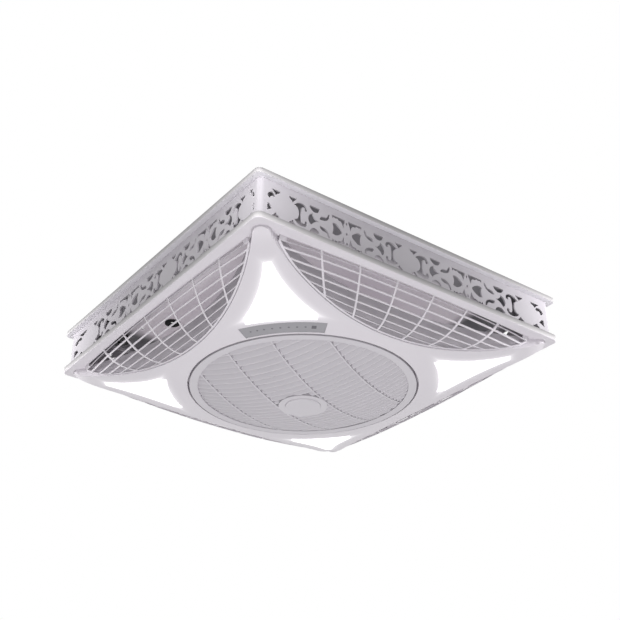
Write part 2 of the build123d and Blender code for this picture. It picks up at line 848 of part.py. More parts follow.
# Fan motor, hung from the plate on rubber
def motor_bracket():
    low = bracket_top - bracket_thickness
    body = cylinder(motor_radius, low, bracket_top)
    for angle in corner_angles.values():
        middle = polar(bracket_arm_radius / 2, angle)
        body += block(bracket_arm_radius, bracket_arm_width, low, bracket_top, middle, angle)
        body += cylinder(bracket_arm_width / 2, low, bracket_top, polar(bracket_arm_radius, angle))
    for point in bracket_screw_points() + rubber_mount_points():
        body -= cylinder(machine_screw_radius + thread_gap, low - past, bracket_top + past, point)
    return body


def bracket_screw_points():
    return [polar(bracket_arm_radius, angle) for angle in corner_angles.values()]


def rubber_mount_points():
    return [polar(rubber_mount_offset, angle) for angle in side_angles.values()]


def bracket_screws():
    seat = bracket_top - bracket_thickness
    tip = -plate_web - seat_gap
    return [screw(machine_screw_radius, seat, tip, point) for point in bracket_screw_points()]


def rubber_mounts():
    top = bracket_top - bracket_thickness
    hole = machine_screw_radius + thread_gap
    return [ring(rubber_mount_radius, hole, motor_top, top, point) for point in rubber_mount_points()]


def mount_screws():
    tip = motor_top - motor_wall
    return [screw(machine_screw_radius, bracket_top, tip, point) for point in rubber_mount_points()]


def motor_ear_points():
    reach = motor_radius + 2 * small_screw_radius + seat_gap
    return [polar(reach, angle) for angle in corner_angles.values()]


def motor_shell(closed, split, inward):
    """Half of the motor's casing, with its bearing seat and its four ears."""
    inner_end = closed + inward * motor_wall
    seat_end = inner_end + inward * bearing_height
    ear_end = split - inward * motor_ear_height
    body = cylinder(motor_radius, *sorted((closed, split)))
    for point in motor_ear_points():
        body += cylinder(motor_ear_radius, *sorted((ear_end, split)), point)
    body -= cylinder(motor_radius - motor_wall, *sorted((inner_end, split + inward * past)))
    outer = bearing_radius + running_gap + motor_wall
    body += ring(outer, bearing_radius + running_gap, *sorted((inner_end, seat_end)))
    for point in motor_ear_points():
        body -= cylinder(small_screw_radius + thread_gap, motor_bottom, motor_top, point)
    return body


def motor_shell_upper():
    body = motor_shell(motor_top, motor_split, -1)
    hole_bottom = motor_top - motor_wall - past
    for point in rubber_mount_points():
        body -= cylinder(machine_screw_radius + thread_gap, hole_bottom, motor_top + past, point)
    return body


def motor_shell_lower():
    return motor_shell(motor_bottom, motor_split, 1) - cylinder(shaft_opening, deepest, 0)


def motor_screws():
    seat = motor_split + motor_ear_height
    tip = motor_split - motor_ear_height
    return [screw(small_screw_radius, seat, tip, point) for point in motor_ear_points()]


def bearing(low):
    """Ball bearing, drawn with its races and shields as one ring."""
    body = ring(bearing_radius, shaft_radius + running_gap, low, low + bearing_height)
    groove = ring(bearing_radius - motor_wall, shaft_radius + motor_wall, low - past, low + shield_depth)
    return body - groove - Pos(0, 0, bearing_height + past - shield_depth) * groove


def stator_core():
    low = motor_split - stator_height / 2
    high = motor_split + stator_height / 2
    outer = motor_radius - motor_wall
    bore = rotor_radius + air_gap
    body = ring(outer - thread_gap, outer - stator_yoke, low, high)
    for number in range(stator_tooth_count):
        angle = number * 360 / stator_tooth_count
        length = outer - stator_yoke / 2 - bore
        body += block(length, stator_tooth_width, low, high, polar(bore + length / 2, angle), angle)
    return body - cylinder(bore, low - past, high + past)


def stator_windings():
    low = motor_split - stator_height / 2
    high = motor_split + stator_height / 2
    inner = rotor_radius + air_gap + coil_build
    outer = motor_radius - motor_wall - stator_yoke - coil_build
    coils = []
    for number in range(stator_tooth_count):
        angle = number * 360 / stator_tooth_count
        middle = polar((inner + outer) / 2, angle)
        width = stator_tooth_width + 2 * coil_build
        coil = block(outer - inner, width, low - coil_build, high + coil_build, middle, angle)
        slot = stator_tooth_width + 2 * thread_gap
        coil -= block(outer - inner + past, slot, low - thread_gap, high + thread_gap, middle, angle)
        coils.append(coil)
    return coils


# Fan rotor
def motor_shaft():
    top = motor_top - motor_wall - seat_gap
    return cylinder(shaft_radius, shaft_bottom, top) - drive_pin_hole(thread_gap)


def drive_pin_hole(gap):
    end = Plane.YZ.offset(-impeller_boss_radius) * Circle(drive_pin_radius + gap)
    hole = extrude(end, 2 * impeller_boss_radius)
    return Pos(0, 0, drive_pin_level) * hole


def rotor():
    low = motor_split - stator_height / 2
    return ring(rotor_radius, shaft_radius, low, low + stator_height)


def blade_section(chord):
    """Cambered slice of a blade, sharper at its ends than in its middle."""
    rise = blade_camber * chord
    half = blade_thickness / 2
    end = chord / 2
    top = ThreePointArc((-end, blade_edge_half), (0, rise + half), (end, blade_edge_half))
    bottom = ThreePointArc((end, -blade_edge_half), (0, rise - half), (-end, -blade_edge_half))
    return make_face(top + Line(top @ 1, bottom @ 0) + bottom + Line(bottom @ 1, top @ 0))


def blade():
    sections = []
    span = impeller_radius - impeller_hub_radius
    for radius in [blade_root_radius] + blade_stations + [impeller_radius + blade_thickness]:
        share = (radius - impeller_hub_radius) / span
        chord = blade_root_chord + share * (blade_tip_chord - blade_root_chord)
        pitch = blade_root_pitch + share * (blade_tip_pitch - blade_root_pitch)
        slope = math.radians(pitch)
        chord_line = (0, math.cos(slope), math.sin(slope))
        place = Plane(origin=(radius, 0, blade_level), x_dir=chord_line, z_dir=(1, 0, 0))
        sections.append(place * blade_section(chord))
    return loft(sections)


def impeller():
    level = impeller_hub_bottom + impeller_wall
    body = cylinder(impeller_hub_radius, impeller_hub_bottom, impeller_hub_top)
    body -= cylinder(impeller_hub_radius - impeller_wall, level, impeller_hub_top + past)
    body += cylinder(impeller_boss_radius, level - past, impeller_boss_top)
    keep = ring(impeller_radius, impeller_hub_radius - impeller_wall / 2, deepest, 0)
    single = blade() & keep
    body = body.fuse(*[Rot(0, 0, number * 360 / blade_count) * single for number in range(blade_count)])
    body -= cylinder(shaft_radius, deepest, 0)
    return body - drive_pin_hole(thread_gap)


def drive_pin():
    return drive_pin_hole(0.0)


def impeller_nut():
    nut = RegularPolygon(nut_radius, 6) - Circle(shaft_radius)
    return prism(nut, impeller_hub_bottom - nut_height, impeller_hub_bottom)


# Louvre drive
def louvre_motor_points():
    reach = louvre_can_radius + 2 * small_screw_radius + seat_gap
    return [polar(reach, angle) for angle in (45, 225)]


def louvre_motor_can():
    low = guard_bottom - louvre_can_height
    body = cylinder(louvre_can_radius, low, guard_bottom)
    for point in louvre_motor_points():
        body += cylinder(louvre_ear_radius, guard_bottom - louvre_ear_height, guard_bottom, point)
    body -= cylinder(louvre_can_radius - louvre_can_wall, low - past, guard_bottom - louvre_can_wall)
    for point in louvre_motor_points():
        body -= cylinder(small_screw_radius + thread_gap, low, guard_bottom + past, point)
    return body


def louvre_motor_cover():
    high = guard_bottom - louvre_can_height
    return ring(louvre_can_radius, louvre_shaft_radius + running_gap, high - louvre_can_wall, high)


def louvre_motor_coil():
    high = guard_bottom - louvre_can_wall
    outer = louvre_can_radius - louvre_can_wall - thread_gap
    return ring(outer, louvre_coil_bore, high - louvre_coil_height, high)


def louvre_motor_screws():
    seat = guard_bottom - louvre_ear_height
    return [screw(small_screw_radius, seat, guard_top, point) for point in louvre_motor_points()]


def louvre_shaft():
    top = guard_bottom - louvre_can_wall - seat_gap
    body = cylinder(louvre_shaft_radius, louvre_shaft_bottom, top)
    body += cylinder(louvre_magnet_radius, top - louvre_coil_height, top)
    hole_top = louvre_shaft_bottom + louvre_screw_length
    return body - cylinder(small_screw_radius + thread_gap, deepest, hole_top)


# Louvre. It is drawn with its ribs along X and its vanes along Y, then turned.
def dome_radius():
    inner = louvre_radius - louvre_ring_width
    return (inner**2 + louvre_dome**2) / (2 * louvre_dome)


def dome_centre():
    return louvre_low + vane_recess + dome_radius()


def dome_level(x, y=0.0):
    """Height of the vanes' lower edges at a point."""
    return dome_centre() - math.sqrt(dome_radius() ** 2 - x**2 - y**2)


def bar_stations(offset_from_middle, odd):
    """Points along a bar at which it bends with the dome, from ring to ring."""
    reach = math.sqrt((louvre_radius - vane_recess) ** 2 - offset_from_middle**2)
    half_count = max(1, round(reach / louvre_bend_spacing))
    count = 2 * half_count + odd
    return [reach * (2 * number / count - 1) for number in range(count + 1)]


def vane(x):
    """Tilted vane across the louvre, following the dome."""
    lean = vane_depth * math.tan(math.radians(vane_tilt))
    half = vane_thickness / 2 / math.cos(math.radians(vane_tilt))
    slices = []
    for y in bar_stations(x, 0):
        low = dome_level(x, y)
        high = low + vane_depth
        corners = [(x - half, y, low), (x + half, y, low)]
        corners += [(x + half - lean, y, high), (x - half - lean, y, high)]
        slices.append(angular(corners))
    return loft(slices, ruled=True)


def louvre_rib(y):
    half = louvre_rib_thickness / 2
    slices = []
    for x in bar_stations(y, 1):
        low = dome_level(x, y) - louvre_rib_proud
        high = low + louvre_rib_depth
        corners = [(x, y - half, low), (x, y + half, low)]
        corners += [(x, y + half, high), (x, y - half, high)]
        slices.append(angular(corners))
    return loft(slices, ruled=True)


def rotary_louvre():
    low = border_bottom - louvre_plane
    inner = louvre_radius - louvre_ring_width
    body = ring(louvre_radius, inner, low, low + louvre_ring_height)
    keep_inner = (louvre_hub_radius + louvre_cap_radius) / 2
    keep = ring(inner + vane_thickness, keep_inner, louvre_low - past, collar_top - collar_lip_height)
    ribs = [louvre_rib(y) & keep for y in louvre_rib_offsets]
    body = body.fuse(*[solid for bar in ribs for solid in bar.solids()]).fuse(louvre_hub())
    count = int(inner / vane_pitch)
    vanes = [vane(number * vane_pitch) & keep for number in range(-count, count + 1)]
    body = body.fuse(*[solid for bar in vanes for solid in bar.solids()])
    return Rot(0, 0, louvre_turn) * body


def louvre_hub():
    rim_low = dome_level(louvre_hub_radius) - vane_recess
    body = cylinder(louvre_hub_radius, rim_low, louvre_shaft_bottom)
    body -= cylinder(louvre_cap_radius + seat_gap, rim_low - past, louvre_shaft_bottom - louvre_hub_floor)
    boss_top = louvre_shaft_bottom + louvre_boss_height
    body += cylinder(louvre_boss_radius, louvre_shaft_bottom - louvre_hub_floor, boss_top)
    body -= cylinder(louvre_shaft_radius + thread_gap, louvre_shaft_bottom, 0)
    return body - cylinder(small_screw_radius + thread_gap, deepest, 0)


def louvre_screw():
    seat = louvre_shaft_bottom - louvre_hub_floor
    tip = louvre_shaft_bottom + louvre_screw_length - seat_gap
    return screw(small_screw_radius, seat, tip, (0, 0))


def hub_cap():
    high = louvre_shaft_bottom - louvre_hub_floor
    body = cylinder(louvre_cap_radius, louvre_low, high)
    body = fillet(body.edges().group_by(Axis.Z)[0], louvre_cap_rounding)
    hollow = cylinder(louvre_cap_radius - louvre_hub_floor, louvre_low + louvre_hub_floor, high + past)
    return body - hollow


# Electrics in the corners of the plate
def unit_sizes():
    return {"far": control_box, "right": lamp_driver_size, "left": terminal_size}


def unit_screw_points():
    points = []
    for corner, size in unit_sizes().items():
        reach = size[1] / 2 + unit_ear / 2
        points += [at_corner(corner_angles[corner], unit_distance, side * reach) for side in (-1, 1)]
    return points


def unit_box(corner, low, high, inset=0.0):
    """Upright box in a corner, between two depths below the plate's web."""
    size_x, size_y = unit_sizes()[corner][:2]
    angle = corner_angles[corner]
    centre = polar(unit_distance, angle)
    return block(size_x - 2 * inset, size_y - 2 * inset, -plate_web - low, -plate_web - high, centre, angle)


def unit_base(corner, depth):
    """Unit fixed to the plate's web by a screw through an ear on each side."""
    size_y = unit_sizes()[corner][1]
    angle = corner_angles[corner]
    length = size_y + 2 * unit_ear
    centre = polar(unit_distance, angle)
    ears = block(unit_ear, length, -plate_web - unit_floor, -plate_web, centre, angle)
    body = unit_box(corner, depth, 0.0) + ears
    for point in unit_screw_points():
        body -= cylinder(small_screw_radius + thread_gap, deepest, 0, point)
    return body


def unit_screws():
    seat = -plate_web - unit_floor
    return [screw(small_screw_radius, seat, -seat_gap, point) for point in unit_screw_points()]


def control_post_points():
    size_x, size_y = control_box[:2]
    inset = control_box_wall + seat_gap + 2 * control_post_radius
    reach_x, reach_y = size_x / 2 - inset, size_y / 2 - inset
    angle = corner_angles["far"]
    return [at_corner(angle, unit_distance + x * reach_x, y * reach_y) for x in (-1, 1) for y in (-1, 1)]


def control_box_base():
    body = unit_base("far", unit_floor)
    top = -plate_web - unit_floor
    for point in control_post_points():
        body += cylinder(control_post_radius, top - control_board_drop, top, point)
    return body


def control_box_lid():
    depth = control_box[2]
    cavity = unit_box("far", depth - control_box_wall, unit_floor - past, control_box_wall)
    return unit_box("far", depth, unit_floor) - cavity


def control_board():
    high = unit_floor + control_board_drop
    return unit_box("far", high + board_thickness, high, control_box_wall + seat_gap)


def lamp_driver():
    return unit_base("right", lamp_driver_size[2])


def terminal_block():
    depth = terminal_size[2]
    body = unit_base("left", depth)
    for number in (-1, 0, 1):
        point = at_corner(corner_angles["left"], unit_distance, number * terminal_pitch)
        body -= cylinder(terminal_well_radius, -plate_web - depth - past, -plate_web - depth / 2, point)
    return body


def cable_grommet():
    low = -plate_web - grommet_flange_height
    body = cylinder(cable_entry_radius - thread_gap, -plate_web, 0, cable_entry)
    body += cylinder(cable_entry_radius + grommet_flange, low, -plate_web, cable_entry)
    return body - cylinder(cable_entry_radius / 2, low - past, past, cable_entry)


pieces = {
    "ceiling_plate": ceiling_plate(),
    "cable_grommet": cable_grommet(),
    "tie_screws": group(tie_screws()),
    "front_panel": front_panel(),
    "lamp_chips": group(Rot(0, 0, angle) * chip for chip in lamp_chips() for angle in corner_angles.values()),
    "lamp_boards": group(Rot(0, 0, angle) * lamp_board() for angle in corner_angles.values()),
    "display_window": display_window(),
    "display_board": display_board(),
    "display_dots": group(display_dots()),
    "remote_receiver": remote_receiver(),
    "board_screws": group(board_screws()),
    "air_duct": air_duct(),
    "louvre_guard": louvre_guard(),
    "duct_screws": group(duct_screws()),
    "motor_bracket": motor_bracket(),
    "bracket_screws": group(bracket_screws()),
    "rubber_mounts": group(rubber_mounts()),
    "mount_screws": group(mount_screws()),
    "motor_shell_upper": motor_shell_upper(),
    "motor_shell_lower": motor_shell_lower(),
    "motor_screws": group(motor_screws()),
    "bearing_upper": bearing(motor_top - motor_wall - bearing_height),
    "bearing_lower": bearing(motor_bottom + motor_wall),
    "stator_core": stator_core(),
    "stator_windings": group(stator_windings()),
    "motor_shaft": motor_shaft(),
    "rotor": rotor(),
    "impeller": impeller(),
    "drive_pin": drive_pin(),
    "impeller_nut": impeller_nut(),
    "louvre_motor_can": louvre_motor_can(),
    "louvre_motor_cover": louvre_motor_cover(),
    "louvre_motor_coil": louvre_motor_coil(),
    "louvre_motor_screws": group(louvre_motor_screws()),
    "louvre_shaft": louvre_shaft(),
    "rotary_louvre": rotary_louvre(),
    "louvre_screw": louvre_screw(),
    "hub_cap": hub_cap(),
    "control_box_base": control_box_base(),
    "control_box_lid": control_box_lid(),
    "control_board": control_board(),
    "lamp_driver": lamp_driver(),
    "terminal_block": terminal_block(),
    "unit_screws": group(unit_screws()),
}
front_skirt, left_skirt = skirt_panel(front_places), skirt_panel(left_places)
skirts = {"front": front_skirt, "right": left_skirt, "back": front_skirt, "left": left_skirt}
side_grille = intake_grille()
for side, angle in side_angles.items():
    pieces[f"skirt_panel_{side}"] = Rot(0, 0, angle) * skirts[side]
    pieces[f"intake_grille_{side}"] = Rot(0, 0, angle) * side_grille
corner_diffuser = lamp_diffuser()
for corner, angle in corner_angles.items():
    x, y = at_corner(angle, math.sqrt(2) * post_offset, 0.0)
    pieces[f"corner_post_{corner}"] = corner_post(x, y)
    pieces[f"lamp_diffuser_{corner}"] = Rot(0, 0, angle) * corner_diffuser
for node, shape in pieces.items():
    save(node, shape)
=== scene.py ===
import bpy
import math
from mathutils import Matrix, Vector

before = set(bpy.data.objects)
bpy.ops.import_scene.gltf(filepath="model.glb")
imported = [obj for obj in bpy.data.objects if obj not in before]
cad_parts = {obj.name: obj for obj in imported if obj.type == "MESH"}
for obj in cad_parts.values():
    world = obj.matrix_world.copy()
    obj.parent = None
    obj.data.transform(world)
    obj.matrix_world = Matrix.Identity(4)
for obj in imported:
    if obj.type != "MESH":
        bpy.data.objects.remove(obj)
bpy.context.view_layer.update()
print("frame loaded")

mm = 0.001


def linear(hexColour):
    values = [int(hexColour[i:i + 2], 16) / 255 for i in (0, 2, 4)]
    return [v / 12.92 if v <= 0.04045 else ((v + 0.055) / 1.055) ** 2.4 for v in values] + [1.0]


def addNode(tree, kind, inputs=None, **settings):
    node = tree.nodes.new(kind)
    for name, value in settings.items():
        setattr(node, name, value)
    for socket, value in (inputs or {}).items():
        if isinstance(value, bpy.types.NodeSocket):
            tree.links.new(value, node.inputs[socket])
        else:
            node.inputs[socket].default_value = value
    return node


# Camera: below the corner that has the display, looking up and across the fan
camera = {
    "place": (-0.9369, -1.2666, -0.8949),
    "aim": (-0.0883, -0.1367, -0.081),
    "lens": 61.4,
}


def placeCamera():
    data = bpy.data.cameras.new("camera")
    data.lens = camera["lens"]
    view = bpy.data.objects.new("camera", data)
    bpy.context.scene.collection.objects.link(view)
    view.location = camera["place"]
    direction = Vector(camera["aim"]) - Vector(camera["place"])
    view.rotation_euler = direction.to_track_quat("-Z", "Y").to_euler()
    bpy.context.scene.camera = view


placeCamera()
bpy.context.scene.view_settings.view_transform = "Standard"

# Studio: a pale floor far below, an even white room, a sky for the floor and the plate's top,
# a soft lamp below the fan and a small one off each corner, where the skirt is brightest
studio = {
    "floorColour": "F4F4F5",
    "floorRoughness": 0.9,
    "floorDrop": 2.2,
    "floorSide": 14.0,
    "roomStrength": 0.36,
    "skyStrength": 1.5,
    "skySpread": 10.0,
    "lampAim": (0, 0, -0.08),
    "lamps": {
        "below": {"place": (-0.3, -0.45, -1.8), "size": 1.4, "power": 17.0},
        "key": {"place": (-1.6, -2.0, -1.6), "size": 1.2, "power": 3.0},
    },
    "cornerAim": (0, 0, -0.05),
    "cornerHeight": -0.015,
    "cornerSize": 0.08,
    "cornerLamps": {
        "far": {"turn": 45, "reach": 0.42, "power": 0.6},
        "left": {"turn": 135, "reach": 0.48, "power": 1.5},
        "near": {"turn": 225, "reach": 0.42, "power": 0.52},
        "right": {"turn": 315, "reach": 0.47, "power": 1.35},
    },
}


def whiteToView(tree):
    # 1 for rays that look at the backdrop straight, in a reflection or through a clear piece
    path = addNode(tree, "ShaderNodeLightPath")
    seen = addNode(tree, "ShaderNodeMath", {
        0: path.outputs["Is Camera Ray"], 1: path.outputs["Is Glossy Ray"]}, operation="MAXIMUM")
    return addNode(tree, "ShaderNodeMath", {
        0: seen.outputs[0], 1: path.outputs["Is Transmission Ray"]}, operation="MAXIMUM").outputs[0]


def buildRoom():
    world = bpy.data.worlds.new("room")
    world.use_nodes = True
    tree = world.node_tree
    tree.nodes.clear()
    strength = addNode(tree, "ShaderNodeMapRange", {
        "Value": whiteToView(tree), "To Min": studio["roomStrength"], "To Max": 1.0})
    room = addNode(tree, "ShaderNodeBackground", {"Strength": strength.outputs[0]})
    room.inputs["Color"].default_value = linear("FFFFFF")
    addNode(tree, "ShaderNodeOutputWorld", {"Surface": room.outputs[0]})
    bpy.context.scene.world = world


def buildFloor():
    bpy.ops.object.select_all(action="DESELECT")
    bpy.ops.mesh.primitive_plane_add(size=studio["floorSide"], location=(0, 0, -studio["floorDrop"]))
    floor = bpy.context.object
    floor.name = "floor"
    material = bpy.data.materials.new("paleFloor")
    material.use_nodes = True
    shader = material.node_tree.nodes["Principled BSDF"]
    shader.inputs["Base Color"].default_value = linear(studio["floorColour"])
    shader.inputs["Roughness"].default_value = studio["floorRoughness"]
    floor.data.materials.append(material)
    floor.visible_diffuse = False  # the fan's underside is lit by the even room, not by the floor


def addLamp(name, place, target, size, power):
    data = bpy.data.lights.new(name, "AREA")
    data.shape = "DISK"
    data.size = size
    data.energy = power
    light = bpy.data.objects.new(name, data)
    bpy.context.scene.collection.objects.link(light)
    light.location = place
    light.rotation_euler = (Vector(target) - light.location).to_track_quat("-Z", "Y").to_euler()
    light.visible_camera = False
    light.visible_glossy = False


def addLamps():
    for name, lamp in studio["lamps"].items():
        addLamp(name, lamp["place"], studio["lampAim"], lamp["size"], lamp["power"])
    for name, lamp in studio["cornerLamps"].items():
        x = math.copysign(lamp["reach"], math.cos(math.radians(lamp["turn"])))
        y = math.copysign(lamp["reach"], math.sin(math.radians(lamp["turn"])))
        place = (x, y, studio["cornerHeight"])
        addLamp(name, place, studio["cornerAim"], studio["cornerSize"], lamp["power"])


def addSky():
    data = bpy.data.lights.new("sky", "SUN")
    data.energy = studio["skyStrength"]
    data.angle = math.radians(studio["skySpread"])
    bpy.context.scene.collection.objects.link(bpy.data.objects.new("sky", data))


buildRoom()
buildFloor()
addLamps()
addSky()
print("studio ready")


# Finishes: all are drawn in a piece's own coordinates, with the sizes of their patterns in millimetres
def startMaterial(name):
    material = bpy.data.materials.new(name)
    material.use_nodes = True
    tree = material.node_tree
    tree.nodes.clear()
    shader = addNode(tree, "ShaderNodeBsdfPrincipled")
    addNode(tree, "ShaderNodeOutputMaterial", {"Surface": shader.outputs[0]})
    place = addNode(tree, "ShaderNodeTexCoord").outputs["Object"]
    return material, tree, shader, place


plastics = {
    # injection moulded ABS, spark-eroded tool skin: satin, a fine even grain
    "satinAbs": {
        "colour": "E2DDE3", "shade": "DCD7DE", "roughness": (0.34, 0.44), "ior": 1.53,
        "grain": 1.4, "depth": 0.012, "drift": 90.0, "edge": 0.7},
    # injection moulded ABS from a polished tool: brighter and a little glossier
    "glossAbs": {
        "colour": "E8E5EA", "shade": "E2DFE5", "roughness": (0.28, 0.36), "ior": 1.53,
        "grain": 2.5, "depth": 0.008, "drift": 120.0, "edge": 0.5},
    # the pierced skirt: the same polished skin, coloured greyer than the white ABS as painted shade for its
    # dim sides
    "skirtAbsPaintedShade": {
        "colour": "BDB9BF", "shade": "B7B3B9", "roughness": (0.3, 0.38), "ior": 1.53,
        "grain": 2.5, "depth": 0.008, "drift": 120.0, "edge": 0.4},
    # the louvre and its cap: satin ABS, a shade greyer than the panel
    "louvreAbs": {
        "colour": "D3CFD5", "shade": "CDC9CF", "roughness": (0.36, 0.46), "ior": 1.53,
        "grain": 1.4, "depth": 0.012, "drift": 70.0, "edge": 0.5},
    # unpainted polypropylene inside the duct: waxy, its colour darkened as painted shade for the dim
    # interior
    "waxyPolypropylene": {
        "colour": "C0BEC2", "shade": "B8B6BA", "roughness": (0.48, 0.6), "ior": 1.49,
        "grain": 2.0, "depth": 0.03, "drift": 60.0, "edge": 0.4},
    # grey ABS electrics boxes: dull, evenly grained
    "greyAbs": {
        "colour": "8E8F92", "shade": "85868A", "roughness": (0.45, 0.55), "ior": 1.53,
        "grain": 1.6, "depth": 0.05, "drift": 50.0, "edge": 0.5},
    # black nylon, glass filled: dull with a faint speckle
    "blackNylon": {
        "colour": "1C1D1F", "shade": "26272A", "roughness": (0.4, 0.55), "ior": 1.53,
        "grain": 0.8, "depth": 0.06, "drift": 12.0, "edge": 0.3},
    # black rubber, dusty from handling
    "softRubber": {
        "colour": "202022", "shade": "34343A", "roughness": (0.7, 0.85), "ior": 1.52,
        "grain": 0.9, "depth": 0.08, "drift": 8.0, "edge": 0.4},
}
moulding = {"driftDetail": 3.0, "grainDetail": 1.0, "bump": 0.4, "edgeSamples": 4}


def plastic(name, look):
    material, tree, shader, place = startMaterial(name)
    # cooling in the mould leaves a slow drift of tint and gloss
    drift = addNode(tree, "ShaderNodeTexNoise", {
        "Vector": place, "Scale": 1 / (look["drift"] * mm), "Detail": moulding["driftDetail"]}).outputs[0]
    tint = addNode(tree, "ShaderNodeMix", {
        0: drift, 6: linear(look["shade"]), 7: linear(look["colour"])}, data_type="RGBA")
    keen, dull = look["roughness"]
    gloss = addNode(tree, "ShaderNodeMapRange", {"Value": drift, "To Min": dull, "To Max": keen})
    # the grain of the tool, drawn coarser than the real 0.2 mm so that it shows
    grain = addNode(tree, "ShaderNodeTexNoise", {
        "Vector": place, "Scale": 1 / (look["grain"] * mm), "Detail": moulding["grainDetail"]})
    # moulded edges are rounded by a few tenths of a millimetre
    rounded = addNode(tree, "ShaderNodeBevel", {
        "Radius": look["edge"] * mm}, samples=moulding["edgeSamples"])
    bump = addNode(tree, "ShaderNodeBump", {
        "Height": grain.outputs[0], "Strength": moulding["bump"], "Distance": look["depth"] * mm,
        "Normal": rounded.outputs[0]})
    tree.links.new(tint.outputs[2], shader.inputs["Base Color"])
    tree.links.new(gloss.outputs[0], shader.inputs["Roughness"])
    tree.links.new(bump.outputs[0], shader.inputs["Normal"])
    shader.inputs["IOR"].default_value = look["ior"]
    return material


def fromMiddle(tree, place):
    # the larger of the distances along x and y, so every side of a square lies at the same value
    folded = addNode(tree, "ShaderNodeVectorMath", {0: place}, operation="ABSOLUTE")
    axes = addNode(tree, "ShaderNodeSeparateXYZ", {0: folded.outputs[0]})
    return addNode(tree, "ShaderNodeMath", {
        0: axes.outputs[0], 1: axes.outputs[1]}, operation="MAXIMUM").outputs[0]


# The outer walls of plate and panel: painted shade, greyer than their faces and darkest along the top edge
wallShade = {
    "start": 288.0, "steep": 0.35, "low": "CCC9CB", "high": "8D8B8D", "depth": 9.0, "plateTop": 0.0,
    "panelTop": -71.0}


def paintWallShade(tree, shader, place, top):
    outer = addNode(tree, "ShaderNodeMath", {
        0: fromMiddle(tree, place), 1: wallShade["start"] * mm}, operation="GREATER_THAN")
    facing = addNode(tree, "ShaderNodeVectorMath", {
        0: tree.nodes["Texture Coordinate"].outputs["Normal"]}, operation="ABSOLUTE")
    facingAxes = addNode(tree, "ShaderNodeSeparateXYZ", {0: facing.outputs[0]})
    upright = addNode(tree, "ShaderNodeMath", {
        0: facingAxes.outputs[2], 1: wallShade["steep"]}, operation="LESS_THAN")
    onWall = addNode(tree, "ShaderNodeMath", {
        0: outer.outputs[0], 1: upright.outputs[0]}, operation="MULTIPLY")
    height = addNode(tree, "ShaderNodeSeparateXYZ", {0: place}).outputs[2]
    # painted shade, growing darker up the wall towards the top edge
    rise = addNode(tree, "ShaderNodeMapRange", {
        "Value": height, "From Min": (top - wallShade["depth"]) * mm, "From Max": top * mm})
    grey = addNode(tree, "ShaderNodeMix", {
        0: rise.outputs[0], 6: linear(wallShade["low"]), 7: linear(wallShade["high"])}, data_type="RGBA")
    face = shader.inputs["Base Color"].links[0].from_socket
    tint = addNode(tree, "ShaderNodeMix", {
        0: onWall.outputs[0], 6: face, 7: grey.outputs[2]}, data_type="RGBA")
    tree.links.new(tint.outputs[2], shader.inputs["Base Color"])


# A glow painted on the panel round its lamps, a painted halo of lamp light. Lengths are along and across a
# corner's arm, where half the lamp's width is corner + bend * share + curl * share squared from start to
# tip
paintedHalo = {
    "reach": 4.5, "strength": 0.33, "base": 224.0, "start": 232.0, "tip": 340.0,
    "corner": 54.0, "bend": -76.8, "curl": 28.3}


def paintHaloRoundLamps(tree, place):
    folded = addNode(tree, "ShaderNodeVectorMath", {0: place}, operation="ABSOLUTE")
    turned = addNode(tree, "ShaderNodeVectorRotate", {
        "Vector": folded.outputs[0], "Angle": -math.radians(45)}, rotation_type="Z_AXIS")
    scaled = addNode(tree, "ShaderNodeVectorMath", {
        0: turned.outputs[0], "Scale": 1 / mm}, operation="SCALE")
    onArm = addNode(tree, "ShaderNodeVectorMath", {0: scaled.outputs[0]}, operation="ABSOLUTE")
    axes = addNode(tree, "ShaderNodeSeparateXYZ", {0: onArm.outputs[0]})
    along, across = axes.outputs[0], axes.outputs[1]
    # 0 at the lamp's start, 1 at its tip, and further past both
    share = addNode(tree, "ShaderNodeMapRange", {
        "Value": along, "From Min": paintedHalo["start"], "From Max": paintedHalo["tip"]}, clamp=False)
    slope = addNode(tree, "ShaderNodeMath", {
        0: share.outputs[0], 1: paintedHalo["curl"], 2: paintedHalo["bend"]}, operation="MULTIPLY_ADD")
    halfWidth = addNode(tree, "ShaderNodeMath", {
        0: share.outputs[0], 1: slope.outputs[0], 2: paintedHalo["corner"]}, operation="MULTIPLY_ADD").outputs[0]
    # how far a point lies past the lamp's base, tip or side, whichever is most
    gap = 0.0
    for larger, smaller in ((paintedHalo["base"], along), (along, paintedHalo["tip"]), (across, halfWidth)):
        past = addNode(tree, "ShaderNodeMath", {0: larger, 1: smaller}, operation="SUBTRACT")
        gap = addNode(tree, "ShaderNodeMath", {0: gap, 1: past.outputs[0]}, operation="MAXIMUM").outputs[0]
    fall = addNode(tree, "ShaderNodeMath", {0: math.exp(-1 / paintedHalo["reach"]), 1: gap}, operation="POWER")
    return addNode(tree, "ShaderNodeMath", {
        0: fall.outputs[0], 1: paintedHalo["strength"]}, operation="MULTIPLY").outputs[0]


opal = {
    "colour": "FBFBFD", "glow": "FFFFFF", "strength": 0.95, "spread": 0.05, "cloud": 25.0,
    "cloudDetail": 1.0, "roughness": 0.22, "ior": 1.49}


def opalAcrylic():
    # opal acrylic over lit boards: glows evenly, with a smooth gloss on top
    material, tree, shader, place = startMaterial("opalAcrylic")
    cloud = addNode(tree, "ShaderNodeTexNoise", {
        "Vector": place, "Scale": 1 / (opal["cloud"] * mm), "Detail": opal["cloudDetail"]})
    glow = addNode(tree, "ShaderNodeMapRange", {
        "Value": cloud.outputs[0],
        "To Min": opal["strength"] - opal["spread"], "To Max": opal["strength"] + opal["spread"]})
    tree.links.new(glow.outputs[0], shader.inputs["Emission Strength"])
    shader.inputs["Emission Color"].default_value = linear(opal["glow"])
    shader.inputs["Base Color"].default_value = linear(opal["colour"])
    shader.inputs["Roughness"].default_value = opal["roughness"]
    shader.inputs["IOR"].default_value = opal["ior"]
    return material


